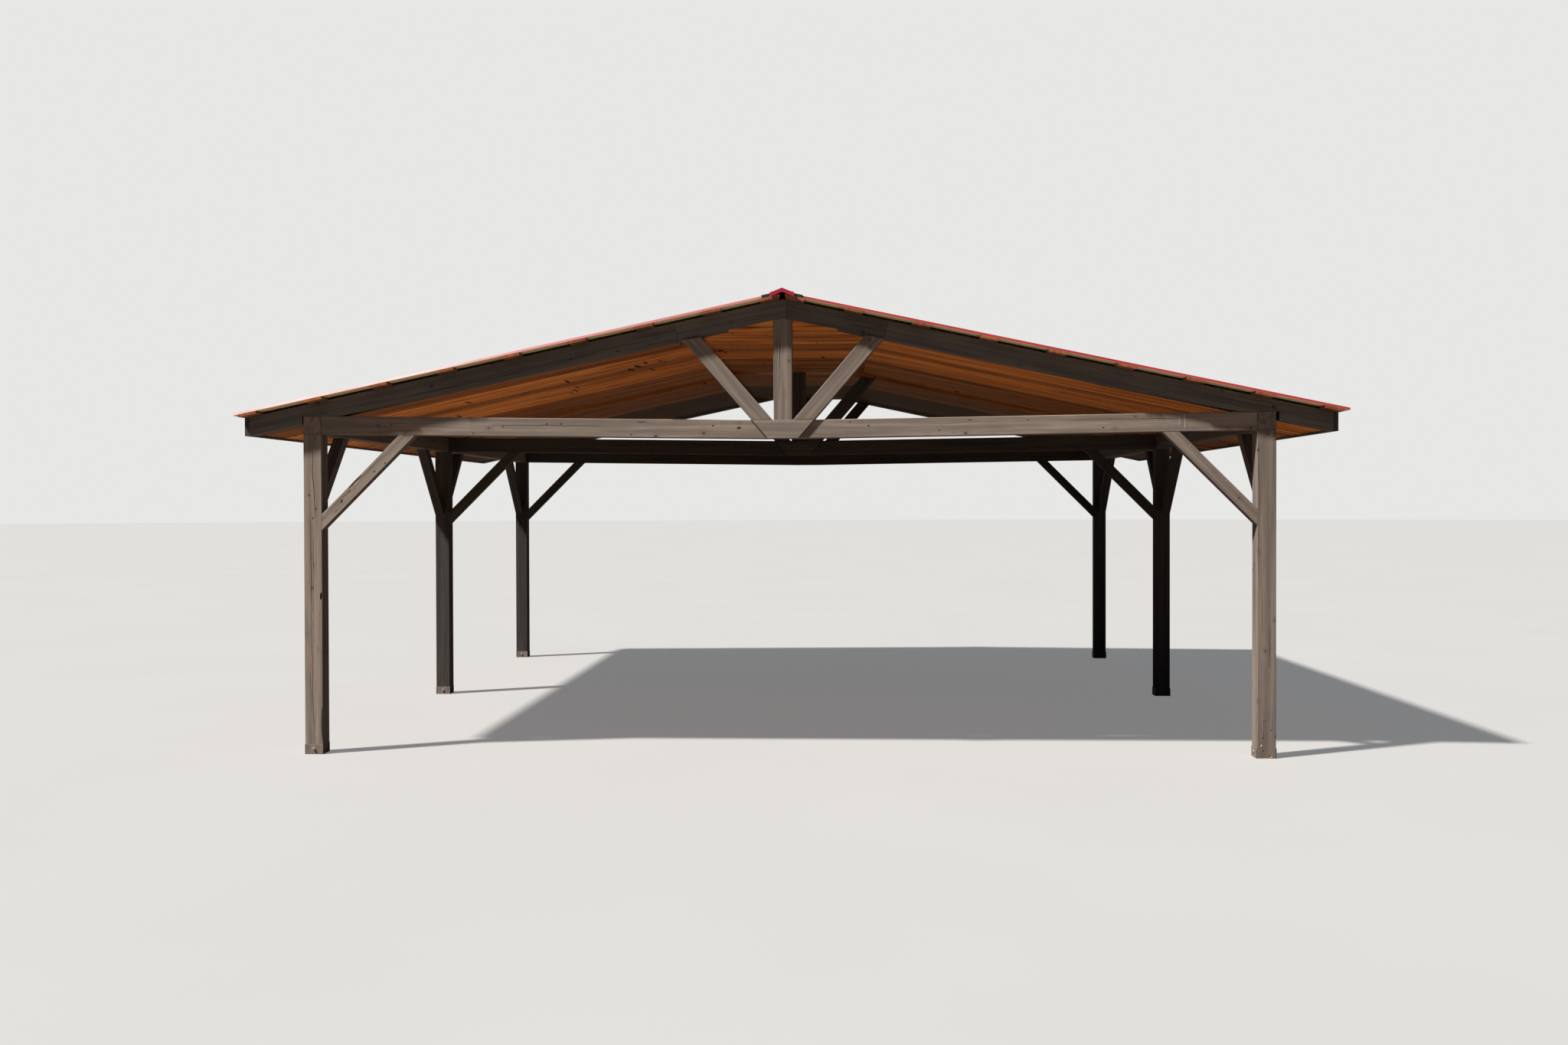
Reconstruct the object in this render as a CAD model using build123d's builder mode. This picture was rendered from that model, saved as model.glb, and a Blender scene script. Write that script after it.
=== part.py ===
from build123d import *
import math
import os

os.makedirs("parts", exist_ok=True)

# Open timber carport, two bays deep, with a low gable at each end.
# Millimetres and degrees. X runs across the gable, Y runs from front to rear, Z is up.
# The origin is on the floor, midway between the posts.

# Timber sections
timber = 139.7
brace_face = 88.9
strut_face = 120.0
eased_edge = 4.0

# Plan and height of the frame
span = 7315.2
length = 7315.2
post_height = 2438.4

# Trusses
roof_pitch = 12.0
seat_length = 279.4
left_heel_gap = 8.0
right_heel_gap = 22.0
tail_run = 452.0
ridge_seam = 32.0
tie_droop = 46.0
block_proud = 19.0
strut_angle = 49.3
strut_clearance = 8.0
left_splice_past_strut = 30.0
right_splice_past_strut = 4.0
brace_legs = {"left": 731.0, "right": 705.0}
side_brace_leg = 640.0

# Post shoes
shoe_plate = 6.0
shoe_flange_height = 75.0
shoe_flange = 5.0

# Fascia boards
fascia_thickness = 32.0
fascia_height = 137.0

# Purlins under the metal
purlin_width = 139.7
purlin_thickness = 19.05
purlin_spacing = 513.0
ridge_purlin_gap = 25.0
rake_overhang = 122.0

# Ceiling boards
board_thickness = 19.05
ceiling_rise = 30.0
soffit_rise = 15.0
ridge_strip_drop = 88.0
ridge_strip_lap = 30.0
ceiling_gap = 2.0
gable_wedge_setback = 9.0

# Ribbed roof sheets
sheet_gauge = 2.0
sheet_eave_overhang = 42.0
sheet_ridge_gap = 18.0
rib_spacing = 228.6
rib_height = 19.0
rib_base = 44.0
rib_flank_angle = 55.0
minor_rib_height = 4.0
minor_rib_base = 26.0
minor_ribs_between = 2

# Ridge cap and its closure strips
closure_height = 24.0
closure_run = 118.0
closure_inset = 30.0
cap_run = 93.0
cap_pitch = 22.0
cap_gauge = 3.0
cap_end_depth = 30.0
cap_overhang = 14.0

# Lines worked out from the sizes above
half_span = span / 2
half_length = length / 2
post_x = half_span - timber / 2
post_inner = half_span - timber
seat_inner = half_span - seat_length
beam_top = post_height + timber
pitch_slope = math.tan(math.radians(roof_pitch))
pitch_cos = math.cos(math.radians(roof_pitch))
pitch_sin = math.sin(math.radians(roof_pitch))
tail_face = half_span + tail_run
tail_end = tail_face - fascia_thickness
block_top = beam_top - tie_droop
strut_sin = math.sin(math.radians(strut_angle))
strut_cos = math.cos(math.radians(strut_angle))
king_half = timber / 2
strut_foot_inner = king_half + strut_clearance
block_top_half = strut_foot_inner + strut_face / strut_sin
block_bottom_half = block_top_half - timber * strut_cos / strut_sin
rows = {"front": timber / 2 - half_length, "middle": 0.0, "rear": half_length - timber / 2}
sides = {"left": -1, "right": 1}
heel_gaps = {"left": left_heel_gap, "right": right_heel_gap}
splices_past_strut = {"left": left_splice_past_strut, "right": right_splice_past_strut}


def underside(run):
    """Height of the rafters' underside at a distance out from the ridge line."""
    return beam_top + (seat_inner - run) * pitch_slope


def rafter_top(run):
    """Height of the rafters' top at a distance out from the ridge line."""
    return underside(run) + timber / pitch_cos


def gable_plane(middle_y, depth):
    """A plane across the carport from which a solid of this depth is centred on middle_y."""
    return Plane.XZ.offset(-middle_y - depth / 2)


def mirrored(points, sign):
    """An outline drawn for the right-hand side, turned to the side that sign names."""
    return [(sign * x, z) for x, z in points]


def ease_gable_edges(timbers):
    """Takes the arris off the front and rear faces of timbers that lie in a truss."""
    by_depth = timbers.edges().group_by(Axis.Y)
    chamfer(by_depth[0] + by_depth[-1], length=eased_edge)


# Posts
for row, row_y in rows.items():
    for side, sign in sides.items():
        with BuildPart() as post:
            with BuildSketch(Plane.XY.offset(shoe_plate)):
                with Locations((sign * post_x, row_y)):
                    Rectangle(timber, timber)
            extrude(amount=post_height - shoe_plate)
            chamfer(post.edges().filter_by(Axis.Z), length=eased_edge)
        post.part.label = f"{row}_{side}_post"
        export_step(post.part, f"parts/{post.part.label}.step")

# Steel shoes, one under each post: flanges front and rear on the left, at the sides on the right
with BuildPart() as shoes:
    for row_y in rows.values():
        for sign in sides.values():
            flange_turn = 0 if sign < 0 else 90
            with Locations(Location((sign * post_x, row_y, 0), (0, 0, flange_turn))):
                Box(timber, timber, shoe_plate, align=(Align.CENTER, Align.CENTER, Align.MIN))
            for flange_side in (-1, 1):
                flange_offset = flange_side * (timber + shoe_flange) / 2
                flange_place = (0, flange_offset) if sign < 0 else (flange_offset, 0)
                flange_x = sign * post_x + flange_place[0]
                flange_y = row_y + flange_place[1]
                with Locations(Location((flange_x, flange_y, 0), (0, 0, flange_turn))):
                    Box(
                        timber,
                        shoe_flange,
                        shoe_flange_height,
                        align=(Align.CENTER, Align.CENTER, Align.MIN),
                    )
shoes.part.label = "post_shoes"
export_step(shoes.part, "parts/post_shoes.step")

# Eave beams over the posts
for side, sign in sides.items():
    with BuildPart() as eave_beam:
        with BuildSketch(gable_plane(0, length)):
            with Locations((sign * post_x, post_height + timber / 2)):
                Rectangle(timber, timber)
        extrude(amount=length)
        chamfer(eave_beam.edges(), length=eased_edge)
    eave_beam.part.label = f"{side}_eave_beam"
    export_step(eave_beam.part, f"parts/{side}_eave_beam.step")


def strut_meets_rafter(foot):
    """How far out a strut's edge meets the rafter when it starts this far out on the block."""
    climb = tie_droop + (seat_inner - foot) * pitch_slope
    return foot + strut_cos * climb / (strut_sin + strut_cos * pitch_slope)


strut_head = strut_meets_rafter(block_top_half)
strut_head_inner = strut_meets_rafter(strut_foot_inner)


def splice_seam(side):
    """The square-cut seam between a lower and an upper rafter, from its underside to its top."""
    run = strut_head + splices_past_strut[side]
    return [
        (run, underside(run)),
        (run + timber * pitch_sin, underside(run) + timber * pitch_cos),
    ]


# Trusses
for row, row_y in rows.items():
    # The tie is two timbers that butt on the eave beams and on a wedge block in the middle
    with BuildPart() as tie:
        for sign in sides.values():
            tie_outline = [
                (post_inner, post_height),
                (post_inner, beam_top),
                (block_top_half, block_top),
                (block_bottom_half, block_top - timber),
            ]
            with BuildSketch(gable_plane(row_y, timber)):
                with BuildLine():
                    Polyline(mirrored(tie_outline, sign), close=True)
                make_face()
            extrude(amount=timber)
        ease_gable_edges(tie)
    tie.part.label = f"{row}_tie_beams"
    export_step(tie.part, f"parts/{row}_tie_beams.step")

    with BuildPart() as tie_block:
        block_outline = [
            (-block_top_half, block_top),
            (block_top_half, block_top),
            (block_bottom_half, block_top - timber),
            (-block_bottom_half, block_top - timber),
        ]
        with BuildSketch(gable_plane(row_y - block_proud, timber)):
            with BuildLine():
                Polyline(block_outline, close=True)
            make_face()
        extrude(amount=timber)
        ease_gable_edges(tie_block)
    tie_block.part.label = f"{row}_tie_block"
    export_step(tie_block.part, f"parts/{row}_tie_block.step")

    with BuildPart() as king_post:
        king_outline = [
            (-king_half, block_top),
            (king_half, block_top),
            (king_half, underside(king_half)),
            (0, underside(0)),
            (-king_half, underside(king_half)),
        ]
        with BuildSketch(gable_plane(row_y, timber)):
            with BuildLine():
                Polyline(king_outline, close=True)
            make_face()
        extrude(amount=timber)
        ease_gable_edges(king_post)
    king_post.part.label = f"{row}_king_post"
    export_step(king_post.part, f"parts/{row}_king_post.step")

    # Struts rise from the block's ends to the rafters
    with BuildPart() as struts:
        for sign in sides.values():
            strut_outline = [
                (strut_foot_inner, block_top),
                (block_top_half, block_top),
                (strut_head, underside(strut_head)),
                (strut_head_inner, underside(strut_head_inner)),
            ]
            with BuildSketch(gable_plane(row_y - block_proud, timber)):
                with BuildLine():
                    Polyline(mirrored(strut_outline, sign), close=True)
                make_face()
            extrude(amount=timber)
        ease_gable_edges(struts)
    struts.part.label = f"{row}_struts"
    export_step(struts.part, f"parts/{row}_struts.step")

    # Lower rafters are notched over the eave beam and run out to the tails
    with BuildPart() as lower_rafters:
        for side, sign in sides.items():
            heel = half_span + heel_gaps[side]
            lower_outline = [
                (seat_inner, beam_top),
                (heel, beam_top),
                (heel, underside(heel)),
                (tail_end, underside(tail_end)),
                (tail_end, rafter_top(tail_end)),
            ]
            lower_outline += reversed(splice_seam(side))
            with BuildSketch(gable_plane(row_y, timber)):
                with BuildLine():
                    Polyline(mirrored(lower_outline, sign), close=True)
                make_face()
            extrude(amount=timber)
        ease_gable_edges(lower_rafters)
    lower_rafters.part.label = f"{row}_lower_rafters"
    export_step(lower_rafters.part, f"parts/{row}_lower_rafters.step")

    # Upper rafters are spliced over the struts and meet on a plumb seam beside the ridge line
    with BuildPart() as upper_left:
        left_outline = mirrored(splice_seam("left"), -1) + [
            (0, rafter_top(0)),
            (ridge_seam, rafter_top(ridge_seam)),
            (ridge_seam, underside(ridge_seam)),
            (0, underside(0)),
        ]
        with BuildSketch(gable_plane(row_y, timber)):
            with BuildLine():
                Polyline(left_outline, close=True)
            make_face()
        extrude(amount=timber)
        ease_gable_edges(upper_left)
    upper_left.part.label = f"{row}_upper_left_rafter"
    export_step(upper_left.part, f"parts/{row}_upper_left_rafter.step")

    with BuildPart() as upper_right:
        right_outline = splice_seam("right") + [
            (ridge_seam, rafter_top(ridge_seam)),
            (ridge_seam, underside(ridge_seam)),
        ]
        with BuildSketch(gable_plane(row_y, timber)):
            with BuildLine():
                Polyline(right_outline, close=True)
            make_face()
        extrude(amount=timber)
        ease_gable_edges(upper_right)
    upper_right.part.label = f"{row}_upper_right_rafter"
    export_step(upper_right.part, f"parts/{row}_upper_right_rafter.step")

# Knee braces: one across under each tie, flush with its front face, and one or two along under
# the eave beam, flush with its outer face
tie_fall = tie_droop / (post_inner - block_bottom_half)
brace_seat = brace_face * math.sqrt(2)
side_brace_inner_leg = side_brace_leg - brace_seat
braces_along = {"front": (1,), "middle": (-1, 1), "rear": (-1,)}
for row, row_y in rows.items():
    across_y = row_y - (timber - brace_face) / 2
    with BuildPart() as braces:
        for side, sign in sides.items():
            across_leg = brace_legs[side]
            outer_reach = across_leg / (1 + tie_fall)
            inner_reach = (across_leg - brace_seat) / (1 + tie_fall)
            across_outline = [
                (post_inner, post_height - across_leg),
                (post_inner - outer_reach, post_height - outer_reach * tie_fall),
                (post_inner - inner_reach, post_height - inner_reach * tie_fall),
                (post_inner, post_height - across_leg + brace_seat),
            ]
            with BuildSketch(gable_plane(across_y, brace_face)):
                with BuildLine():
                    Polyline(mirrored(across_outline, sign), close=True)
                make_face()
            extrude(amount=brace_face)
            along_start = min(sign * half_span, sign * (half_span - brace_face))
            for along in braces_along[row]:
                face_y = row_y + along * timber / 2
                along_outline = [
                    (face_y, post_height - side_brace_leg),
                    (face_y + along * side_brace_leg, post_height),
                    (face_y + along * side_brace_inner_leg, post_height),
                    (face_y, post_height - side_brace_inner_leg),
                ]
                with BuildSketch(Plane.YZ.offset(along_start)):
                    with BuildLine():
                        Polyline(along_outline, close=True)
                    make_face()
                extrude(amount=brace_face)
    braces.part.label = f"{row}_knee_braces"
    export_step(braces.part, f"parts/{row}_knee_braces.step")

# Fascia boards on the rafter tails
for side, sign in sides.items():
    with BuildPart() as fascia:
        fascia_top = rafter_top(tail_face)
        with BuildSketch(gable_plane(0, length)):
            with Locations((sign * (tail_face - fascia_thickness / 2), fascia_top - fascia_height / 2)):
                Rectangle(fascia_thickness, fascia_height)
        extrude(amount=length)
    fascia.part.label = f"{side}_fascia"
    export_step(fascia.part, f"parts/{side}_fascia.step")

# Purlins laid flat on the rafters, with one more close to the ridge
roof_length = length + 2 * rake_overhang
first_purlin = tail_face - purlin_width * pitch_cos / 2
purlin_step = purlin_spacing * pitch_cos
ridge_purlin = ridge_purlin_gap + purlin_width * pitch_cos / 2
purlin_room = first_purlin - ridge_purlin - purlin_width * pitch_cos
purlin_steps = math.floor(purlin_room / purlin_step)
purlin_runs = [first_purlin - step * purlin_step for step in range(purlin_steps + 1)]
purlin_runs.append(ridge_purlin)
for side, sign in sides.items():
    with BuildPart() as purlins:
        with BuildSketch(gable_plane(0, roof_length)):
            for run in purlin_runs:
                lift = purlin_thickness / 2
                purlin_x = sign * (run + lift * pitch_sin)
                with Locations((purlin_x, rafter_top(run) + lift * pitch_cos)):
                    Rectangle(purlin_width, purlin_thickness, rotation=-sign * roof_pitch)
        extrude(amount=roof_length)
    purlins.part.label = f"{side}_purlins"
    export_step(purlins.part, f"parts/{side}_purlins.step")

# Ceiling boards under the roof in each bay, and in the soffit outside the eave beams. Those inside
# run from the flat strip under the ridge, which laps over their ends, down to the eave beam's top.
bay_width = rows["middle"] - rows["front"] - timber - ceiling_gap
bay_middles = [(rows["front"] + rows["middle"]) / 2, (rows["middle"] + rows["rear"]) / 2]
board_lift = board_thickness / pitch_cos
ceiling_start = (ridge_strip_drop + ceiling_rise + board_lift) / pitch_slope
ceiling_end = seat_inner + ceiling_rise / pitch_slope
for side, sign in sides.items():
    with BuildPart() as ceiling:
        for bay_y in bay_middles:
            inside_outline = [
                (ceiling_start, underside(ceiling_start) + ceiling_rise),
                (ceiling_start, underside(ceiling_start) + ceiling_rise + board_lift),
                (ceiling_end, underside(ceiling_end) + ceiling_rise + board_lift),
                (ceiling_end, underside(ceiling_end) + ceiling_rise),
            ]
            soffit_outline = [
                (half_span, underside(half_span) + soffit_rise),
                (half_span, underside(half_span) + soffit_rise + board_lift),
                (tail_end, underside(tail_end) + soffit_rise + board_lift),
                (tail_end, underside(tail_end) + soffit_rise),
            ]
            for outline in (inside_outline, soffit_outline):
                with BuildSketch(gable_plane(bay_y, bay_width)):
                    with BuildLine():
                        Polyline(mirrored(outline, sign), close=True)
                    make_face()
                extrude(amount=bay_width)
    ceiling.part.label = f"{side}_ceiling_boards"
    export_step(ceiling.part, f"parts/{side}_ceiling_boards.step")

# The flat strip of boards under the ridge, carried past both sides of every king post. In the
# gables a wedge-shaped board closes what is left between the strip and the rafters.
strip_bottom = underside(0) - ridge_strip_drop
strip_top = strip_bottom + board_thickness
strip_half = ceiling_start + ridge_strip_lap
strip_top_end = (ridge_strip_drop - board_thickness) / pitch_slope
strip_bottom_end = ridge_strip_drop / pitch_slope
filler_start = king_half + ceiling_gap
gable_faces = {"front": -1, "rear": 1}
with BuildPart() as ridge_strip:
    for bay_y in bay_middles:
        with BuildSketch(gable_plane(bay_y, bay_width)):
            with Locations((0, strip_bottom + board_thickness / 2)):
                Rectangle(2 * strip_half, board_thickness)
        extrude(amount=bay_width)
    filler_outline = [
        (filler_start, strip_bottom),
        (strip_bottom_end, strip_bottom),
        (strip_top_end, strip_top),
        (filler_start, strip_top),
    ]
    wedge_outline = [
        (filler_start, strip_top),
        (strip_top_end, strip_top),
        (filler_start, underside(filler_start)),
    ]
    for sign in sides.values():
        for row_y in rows.values():
            with BuildSketch(gable_plane(row_y, timber)):
                with BuildLine():
                    Polyline(mirrored(filler_outline, sign), close=True)
                make_face()
            extrude(amount=timber)
        for row, outward in gable_faces.items():
            wedge_inset = timber / 2 - gable_wedge_setback - board_thickness / 2
            wedge_y = rows[row] + outward * wedge_inset
            with BuildSketch(gable_plane(wedge_y, board_thickness)):
                with BuildLine():
                    Polyline(mirrored(wedge_outline, sign), close=True)
                make_face()
            extrude(amount=board_thickness)
ridge_strip.part.label = "ridge_ceiling_boards"
export_step(ridge_strip.part, "parts/ridge_ceiling_boards.step")

# Where the ribs of the metal stand across the roof, from one rake to the other
rib_count = math.floor((roof_length - rib_base) / rib_spacing)
rib_margin = (roof_length - rib_base - rib_count * rib_spacing) / 2
rib_places = [-roof_length / 2 + rib_base / 2]
rib_places += [
    -roof_length / 2 + rib_base / 2 + rib_margin + step * rib_spacing
    for step in range(1, rib_count)
]
rib_places.append(roof_length / 2 - rib_base / 2)
minor_places = []
for rib, next_rib in zip(rib_places, rib_places[1:]):
    minor_step = (next_rib - rib) / (minor_ribs_between + 1)
    minor_places += [rib + minor_step * (count + 1) for count in range(minor_ribs_between)]


def slope_plane(sign, run):
    """A plane across the slope, looking down it, standing on the purlins at this run."""
    base_x = run + purlin_thickness * pitch_sin
    base_z = rafter_top(run) + purlin_thickness * pitch_cos
    return Plane(
        origin=(sign * base_x, 0, base_z),
        x_dir=(0, sign, 0),
        z_dir=(sign * pitch_cos, 0, -pitch_sin),
    )


# Ribbed metal on each slope
sheet_length = (tail_face + sheet_eave_overhang - sheet_ridge_gap) / pitch_cos
rib_hollow = rib_base - 2 * sheet_gauge
minor_hollow = minor_rib_base - 2 * sheet_gauge
standing = (Align.CENTER, Align.MIN)
for side, sign in sides.items():
    with BuildPart() as sheet:
        with BuildSketch(slope_plane(sign, sheet_ridge_gap)):
            Rectangle(roof_length, sheet_gauge, align=standing)
            with Locations(*[(place, 0) for place in rib_places]):
                Trapezoid(rib_base, rib_height, rib_flank_angle, align=standing)
            with Locations(*[(place, 0) for place in minor_places]):
                Trapezoid(
                    minor_rib_base, minor_rib_height + sheet_gauge, rib_flank_angle, align=standing
                )
            with Locations(*[(place, 0) for place in rib_places]):
                Trapezoid(
                    rib_hollow,
                    rib_height - sheet_gauge,
                    rib_flank_angle,
                    align=standing,
                    mode=Mode.SUBTRACT,
                )
            with Locations(*[(place, 0) for place in minor_places]):
                Trapezoid(
                    minor_hollow,
                    minor_rib_height,
                    rib_flank_angle,
                    align=standing,
                    mode=Mode.SUBTRACT,
                )
        extrude(amount=sheet_length)
    sheet.part.label = f"{side}_roof_sheet"
    export_step(sheet.part, f"parts/{side}_roof_sheet.step")

# Closure strips, notched over the ribs, seat the ridge cap on the metal
closure_bottom = sheet_gauge + minor_rib_height
with BuildPart() as closures:
    for sign in sides.values():
        with BuildSketch(slope_plane(sign, closure_inset)):
            with Locations((0, closure_bottom)):
                Rectangle(roof_length, closure_height - closure_bottom, align=standing)
            with Locations(*[(place, 0) for place in rib_places]):
                Trapezoid(
                    rib_base, rib_height, rib_flank_angle, align=standing, mode=Mode.SUBTRACT
                )
        extrude(amount=closure_run)
closures.part.label = "ridge_closures"
export_step(closures.part, "parts/ridge_closures.step")

# Ridge cap, folded steeper than the roof, seated on the closures along both edges and turned
# down at both ends
cap_seat = rafter_top(cap_run) + (purlin_thickness + closure_height) / pitch_cos
cap_fold = cap_seat + cap_run * math.tan(math.radians(cap_pitch))
cap_length = roof_length + 2 * cap_overhang
with BuildPart() as ridge_cap:
    cap_outline = [
        (-cap_run, cap_seat),
        (0, cap_fold),
        (cap_run, cap_seat),
        (cap_run, cap_seat + cap_gauge),
        (0, cap_fold + cap_gauge),
        (-cap_run, cap_seat + cap_gauge),
    ]
    with BuildSketch(gable_plane(0, cap_length)):
        with BuildLine():
            Polyline(cap_outline, close=True)
        make_face()
    extrude(amount=cap_length)
    end_outline = [
        (-cap_run, cap_seat + cap_gauge - cap_end_depth),
        (0, cap_fold + cap_gauge - cap_end_depth),
        (cap_run, cap_seat + cap_gauge - cap_end_depth),
        (cap_run, cap_seat + cap_gauge),
        (0, cap_fold + cap_gauge),
        (-cap_run, cap_seat + cap_gauge),
    ]
    for end in (-1, 1):
        with BuildSketch(gable_plane(end * (cap_length - cap_gauge) / 2, cap_gauge)):
            with BuildLine():
                Polyline(end_outline, close=True)
            make_face()
        extrude(amount=cap_gauge)
ridge_cap.part.label = "ridge_cap"
export_step(ridge_cap.part, "parts/ridge_cap.step")
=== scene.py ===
import math
import random

import bmesh
import bpy
from mathutils import Matrix, Vector


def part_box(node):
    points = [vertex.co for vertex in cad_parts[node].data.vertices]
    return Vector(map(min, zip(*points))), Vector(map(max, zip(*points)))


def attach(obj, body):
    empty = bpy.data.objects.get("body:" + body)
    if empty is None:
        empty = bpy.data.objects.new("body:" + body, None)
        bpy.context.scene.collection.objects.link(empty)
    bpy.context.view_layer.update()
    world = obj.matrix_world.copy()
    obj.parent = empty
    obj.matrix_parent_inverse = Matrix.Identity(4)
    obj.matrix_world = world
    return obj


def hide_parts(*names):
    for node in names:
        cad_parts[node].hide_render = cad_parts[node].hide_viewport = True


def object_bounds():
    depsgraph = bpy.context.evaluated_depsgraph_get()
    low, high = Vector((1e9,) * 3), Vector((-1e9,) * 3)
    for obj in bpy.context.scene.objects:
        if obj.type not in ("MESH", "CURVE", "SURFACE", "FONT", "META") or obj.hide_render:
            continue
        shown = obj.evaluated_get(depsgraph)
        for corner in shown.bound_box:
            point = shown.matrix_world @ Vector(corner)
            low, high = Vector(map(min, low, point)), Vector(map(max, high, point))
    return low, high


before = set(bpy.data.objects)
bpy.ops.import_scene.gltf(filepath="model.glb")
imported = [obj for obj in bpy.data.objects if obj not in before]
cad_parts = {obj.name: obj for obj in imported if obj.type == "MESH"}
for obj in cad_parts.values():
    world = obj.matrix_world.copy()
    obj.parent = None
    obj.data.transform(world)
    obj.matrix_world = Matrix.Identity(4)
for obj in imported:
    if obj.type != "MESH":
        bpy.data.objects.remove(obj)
cad_low, cad_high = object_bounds()
chance = random.Random(24)

# Sizes in metres and angles in degrees, as the carport is built
ROOF_PITCH = 12.0
CAP_PITCH = 22.0
RIB_SPACING = 0.2286
RIB_BASE = 0.044
SHEET_GAUGE = 0.002
SHEET_RIDGE_GAP = 0.018
PURLIN_THICKNESS = 0.01905
STRIP_UNDERSIDE = 3.2082
CEILING_CREST = 3.3262
SOFFIT_CREST = 3.3112
EAVE_LINE = 3.52

# Timbers: faces past this line that look out of the carport keep the pale coat while the rest can
# take painted shade, and what counts as a wide face or a long edge
OUTER_FACE_FROM = 3.55
WIDE_FACE = 0.05
LONG_EDGE = 0.05
PURLIN_EASE = 0.0015
BRACE_EASE = 0.003
FASCIA_EASE = 0.002
KNOT_HEIGHT = 0.0007
CHECK_STEP = 0.035
MARK_REACH = 0.01

# Drying checks at random: half their length, their width, their depth, and how far they slant
CHECK_REACHES = (0.12, 0.6)
CHECK_WIDTHS = (0.002, 0.0042)
CHECK_DEPTHS = (0.012, 0.024)
CHECK_DRIFT = 0.008

# Ceiling boards
BOARDS_PER_BAY = 12
BOARD_JOINT = 0.002
BOARD_EASE = 0.006
BOARD_SLACK = 0.002
# Boards further along the carport than this take a darker finish, painted shade
SHADED_BOARDS_FROM = 1.6

# How pale a ceiling board is, from 0 to 1: in the rear bay, kept low as painted shade, and in the
# front bay by PALE_BOARDS
REAR_BAY_SHADE_TONES = (0.0, 0.22)
FRONT_BAY_TONES = (0.15, 0.45)
PALE_BOARD_TONES = (0.75, 1.0)

# Fasteners
SCREW_BESIDE_RIB = 0.040
SCREW_SCATTER = 0.003
CAP_SCREW_RUN = 0.076
CAP_COVER = 0.15
WASHER_RADIUS = 0.0085
WASHER_THICKNESS = 0.0016
CUP_RADIUS = 0.0078
CUP_THICKNESS = 0.0012
SCREW_HEAD_RADIUS = 0.0046
SCREW_HEAD_HEIGHT = 0.0050
BOLT_HEIGHT = 0.043
BOLT_WASHER_RADIUS = 0.0125
BOLT_WASHER_THICKNESS = 0.0025
BOLT_SEAT = 0.00245
BOLT_HEAD_RADIUS = 0.0095
BOLT_HEAD_HEIGHT = 0.0075
SHOE_FLANGE = 0.005

ROWS = ("front", "middle", "rear")
SIDES = {"left": -1, "right": 1}
UP = Vector((0, 0, 1))
FRONT = Vector((0, -1, 0))
ALONG = Vector((0, 1, 0))

# The photograph's frame and the camera that took it
PHOTO_WIDTH = 2048
PHOTO_HEIGHT = 1365
FOCAL_PIXELS = 1919.2
SENSOR_WIDTH = 36.0
CAMERA_PLACE = Vector((0.478, -14.690, 1.887))
CAMERA_YAW = 2.449
CAMERA_TILT = -0.654
CAMERA_ROLL = -0.149


def camera_turn():
    """The camera's turn: yaw about the vertical, then tilt, then roll."""
    yaw = Matrix.Rotation(math.radians(CAMERA_YAW), 4, "Z")
    tilt = Matrix.Rotation(math.radians(90 + CAMERA_TILT), 4, "X")
    roll = Matrix.Rotation(math.radians(CAMERA_ROLL), 4, "Z")
    return yaw @ tilt @ roll


def photo_point(pixel, plane_point, plane_normal):
    """Where a pixel of the photograph falls on a plane of the carport."""
    across = (pixel[0] - PHOTO_WIDTH / 2) / FOCAL_PIXELS
    up = (PHOTO_HEIGHT / 2 - pixel[1]) / FOCAL_PIXELS
    ray = camera_turn().to_3x3() @ Vector((across, up, -1))
    normal = Vector(plane_normal)
    reach = (Vector(plane_point) - CAMERA_PLACE).dot(normal) / ray.dot(normal)
    return CAMERA_PLACE + ray * reach


def set_camera():
    lens = bpy.data.cameras.new("camera")
    lens.sensor_width = SENSOR_WIDTH
    lens.lens = SENSOR_WIDTH * FOCAL_PIXELS / PHOTO_WIDTH
    lens.clip_end = 300
    camera = bpy.data.objects.new("camera", lens)
    camera.matrix_world = Matrix.Translation(CAMERA_PLACE) @ camera_turn()
    bring_in(camera)
    bpy.context.scene.camera = camera


# Selecting and editing, as by hand


def bring_in(made):
    bpy.context.scene.collection.objects.link(made)
    return made


def pick(*objects):
    bpy.ops.object.select_all(action="DESELECT")
    for each in objects:
        each.select_set(True)
    bpy.context.view_layer.objects.active = objects[0]


def edit(piece):
    pick(piece)
    bpy.ops.object.mode_set(mode="EDIT")
    bpy.ops.mesh.select_all(action="SELECT")


def leave():
    bpy.ops.object.mode_set(mode="OBJECT")


def clear_choice(piece, kind):
    """Leaves nothing of a piece selected, ready to choose its faces or edges."""
    edit(piece)
    bpy.ops.mesh.select_all(action="DESELECT")
    bpy.ops.mesh.select_mode(type=kind)
    leave()


def settle(piece):
    """Puts the object's place, turn and scale into its mesh."""
    pick(piece)
    bpy.ops.object.transform_apply(location=True, rotation=True, scale=True)


def new_copy(piece, name):
    return bring_in(bpy.data.objects.new(name, piece.data.copy()))


def join(pieces, name):
    pick(*pieces)
    if len(pieces) > 1:
        bpy.ops.object.join()
    pieces[0].name = name
    pieces[0].data.name = name
    return pieces[0]


def drop(piece):
    mesh = piece.data
    bpy.data.objects.remove(piece)
    bpy.data.meshes.remove(mesh)


def stock(node):
    """The solids of one part as merged copies, from left to right and front to rear."""
    copy = new_copy(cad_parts[node], node + "_stock")
    copy.data.materials.clear()
    edit(copy)
    bpy.ops.mesh.remove_doubles(threshold=0.00002)
    bpy.ops.mesh.dissolve_limited(angle_limit=math.radians(0.5))
    bpy.ops.mesh.separate(type="LOOSE")
    leave()
    made = list(bpy.context.selected_objects)
    for each in made:
        pick(each)
        bpy.ops.mesh.customdata_custom_splitnormals_clear()
        bpy.ops.object.shade_flat()
    return sorted(made, key=lambda each: tuple(round(v, 2) for v in middle(each)))


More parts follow.
